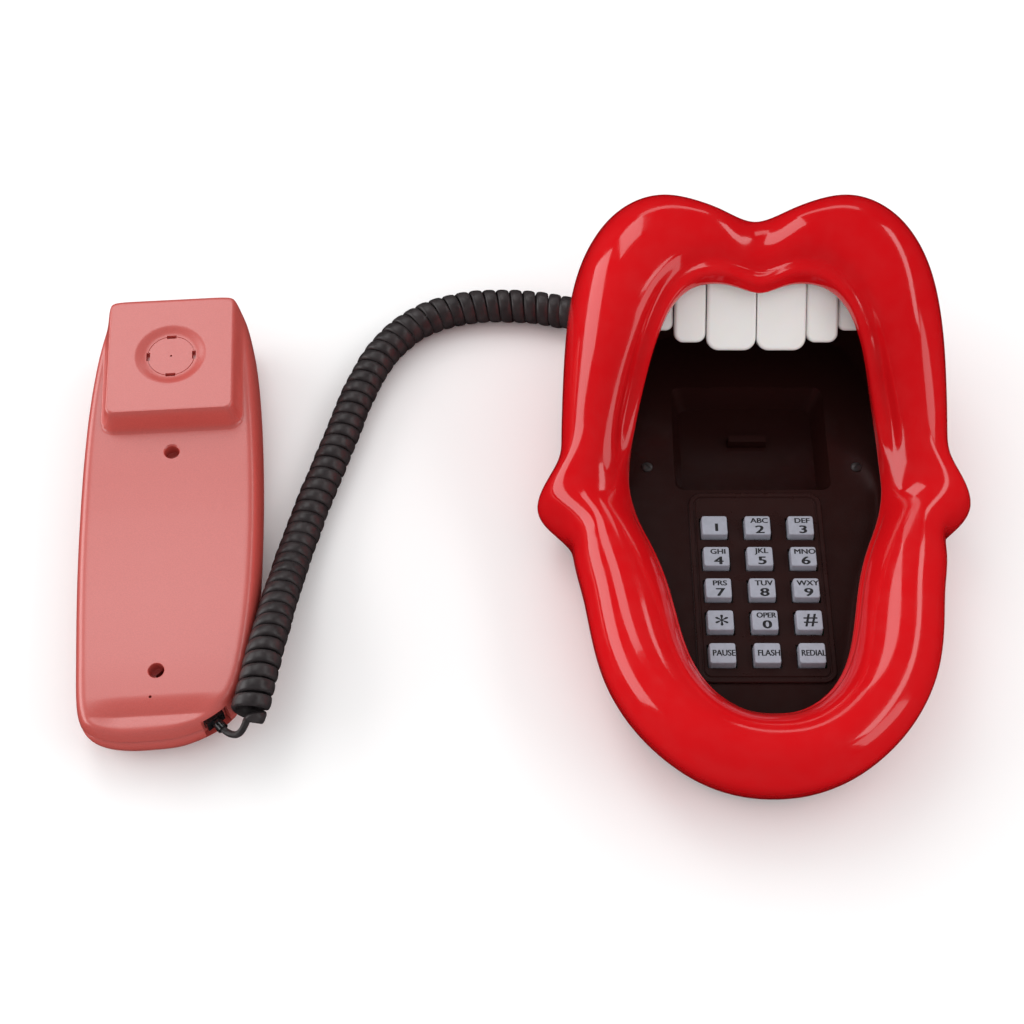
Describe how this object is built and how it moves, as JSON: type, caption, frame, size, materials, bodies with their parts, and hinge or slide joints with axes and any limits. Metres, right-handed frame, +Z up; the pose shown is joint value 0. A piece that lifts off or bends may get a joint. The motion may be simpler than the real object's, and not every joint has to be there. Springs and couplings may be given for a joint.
{
  "type": "novelty shaped telephone",
  "caption": "Novelty desk telephone: base shaped as an open mouth with a keypad and handset cradle on its floor, tongue-shaped handset beside it on a curly cord.",
  "frame": {"origin": "on the supporting surface, under the middle of the base and handset together", "axes": "+X across, from the handset towards the base; +Y from the keypad end towards the upper lip; +Z up"},
  "size_m": [0.3483, 0.236, 0.0937],
  "materials": {
    "red_lips": "high gloss, deep red",
    "base_plate": "fine texture, black",
    "feet": "matt",
    "screws": "zinc plated",
    "mouth_floor": "gloss, very dark brown",
    "bezel": "gloss, very dark brown",
    "keys": "satin, light bluish grey with black print",
    "membrane": "matt",
    "board": "printed circuit board",
    "teeth": "high gloss, warm white",
    "hook": "gloss, very dark brown",
    "spring": "spring wire",
    "switch": "matt",
    "ringer": "matt",
    "weight": "plain steel",
    "jacks": "matt",
    "pink": "pearl gloss, salmon pink",
    "gasket": "foam",
    "speaker": "satin",
    "capsule": "satin",
    "cord": "satin black",
    "plugs": "gloss, black"
  },
  "bodies": {
    "base": {"lips_shell": "red_lips", "base_plate": "base_plate", "rubber_feet": "feet", "base_screws": "screws", "mouth_panel": "mouth_floor", "panel_screws": "screws", "keypad_bezel": "bezel", "keypad_membrane": "membrane", "main_board": "board", "board_screws": "screws", "upper_teeth": "teeth", "hook_spring": "spring", "hook_switch": "switch", "ringer": "ringer", "ballast_weight": "weight", "line_jack": "jacks", "base_cord_jack": "jacks", "curly_cord": "cord", "base_tail": "cord", "handset_tail": "cord", "base_plug": "plugs"},
    "key_1": {"key_1": "keys"},
    "key_2": {"key_2": "keys"},
    "key_3": {"key_3": "keys"},
    "key_4": {"key_4": "keys"},
    "key_5": {"key_5": "keys"},
    "key_6": {"key_6": "keys"},
    "key_7": {"key_7": "keys"},
    "key_8": {"key_8": "keys"},
    "key_9": {"key_9": "keys"},
    "key_star": {"key_star": "keys"},
    "key_0": {"key_0": "keys"},
    "key_hash": {"key_hash": "keys"},
    "key_pause": {"key_pause": "keys"},
    "key_flash": {"key_flash": "keys"},
    "key_redial": {"key_redial": "keys"},
    "hook_plunger": {"hook_plunger": "hook"},
    "handset": {"handset_cover": "pink", "handset_back": "pink", "handset_screws": "screws", "ear_gasket": "gasket", "ear_speaker": "speaker", "mic_boot": "gasket", "mic_capsule": "capsule", "handset_weight": "weight", "handset_jack": "jacks", "handset_plug": "plugs"}
  },
  "joints": [
    {"name": "key_1_press", "type": "slide", "parent": "base", "child": "key_1", "axis": [0, 0, -1], "range_m": [0, 0.0015], "stiffness_N_per_m": 400, "springref_m": -0.0005},
    {"name": "key_2_press", "type": "slide", "parent": "base", "child": "key_2", "axis": [0, 0, -1], "range_m": [0, 0.0015], "stiffness_N_per_m": 400, "springref_m": -0.0005},
    {"name": "key_3_press", "type": "slide", "parent": "base", "child": "key_3", "axis": [0, 0, -1], "range_m": [0, 0.0015], "stiffness_N_per_m": 400, "springref_m": -0.0005},
    {"name": "key_4_press", "type": "slide", "parent": "base", "child": "key_4", "axis": [0, 0, -1], "range_m": [0, 0.0015], "stiffness_N_per_m": 400, "springref_m": -0.0005},
    {"name": "key_5_press", "type": "slide", "parent": "base", "child": "key_5", "axis": [0, 0, -1], "range_m": [0, 0.0015], "stiffness_N_per_m": 400, "springref_m": -0.0005},
    {"name": "key_6_press", "type": "slide", "parent": "base", "child": "key_6", "axis": [0, 0, -1], "range_m": [0, 0.0015], "stiffness_N_per_m": 400, "springref_m": -0.0005},
    {"name": "key_7_press", "type": "slide", "parent": "base", "child": "key_7", "axis": [0, 0, -1], "range_m": [0, 0.0015], "stiffness_N_per_m": 400, "springref_m": -0.0005},
    {"name": "key_8_press", "type": "slide", "parent": "base", "child": "key_8", "axis": [0, 0, -1], "range_m": [0, 0.0015], "stiffness_N_per_m": 400, "springref_m": -0.0005},
    {"name": "key_9_press", "type": "slide", "parent": "base", "child": "key_9", "axis": [0, 0, -1], "range_m": [0, 0.0015], "stiffness_N_per_m": 400, "springref_m": -0.0005},
    {"name": "key_star_press", "type": "slide", "parent": "base", "child": "key_star", "axis": [0, 0, -1], "range_m": [0, 0.0015], "stiffness_N_per_m": 400, "springref_m": -0.0005},
    {"name": "key_0_press", "type": "slide", "parent": "base", "child": "key_0", "axis": [0, 0, -1], "range_m": [0, 0.0015], "stiffness_N_per_m": 400, "springref_m": -0.0005},
    {"name": "key_hash_press", "type": "slide", "parent": "base", "child": "key_hash", "axis": [0, 0, -1], "range_m": [0, 0.0015], "stiffness_N_per_m": 400, "springref_m": -0.0005},
    {"name": "key_pause_press", "type": "slide", "parent": "base", "child": "key_pause", "axis": [0, 0, -1], "range_m": [0, 0.0015], "stiffness_N_per_m": 400, "springref_m": -0.0005},
    {"name": "key_flash_press", "type": "slide", "parent": "base", "child": "key_flash", "axis": [0, 0, -1], "range_m": [0, 0.0015], "stiffness_N_per_m": 400, "springref_m": -0.0005},
    {"name": "key_redial_press", "type": "slide", "parent": "base", "child": "key_redial", "axis": [0, 0, -1], "range_m": [0, 0.0015], "stiffness_N_per_m": 400, "springref_m": -0.0005},
    {"name": "hook_press", "type": "slide", "parent": "base", "child": "hook_plunger", "axis": [0, 0, -1], "range_m": [0, 0.003], "stiffness_N_per_m": 150, "springref_m": -0.0008, "deforming": ["hook_spring"]},
    {"name": "handset_lift", "type": "slide", "parent": "base", "child": "handset", "axis": [-0.6, 0, 0.8], "range_m": [0, 0.15]}
  ]
}
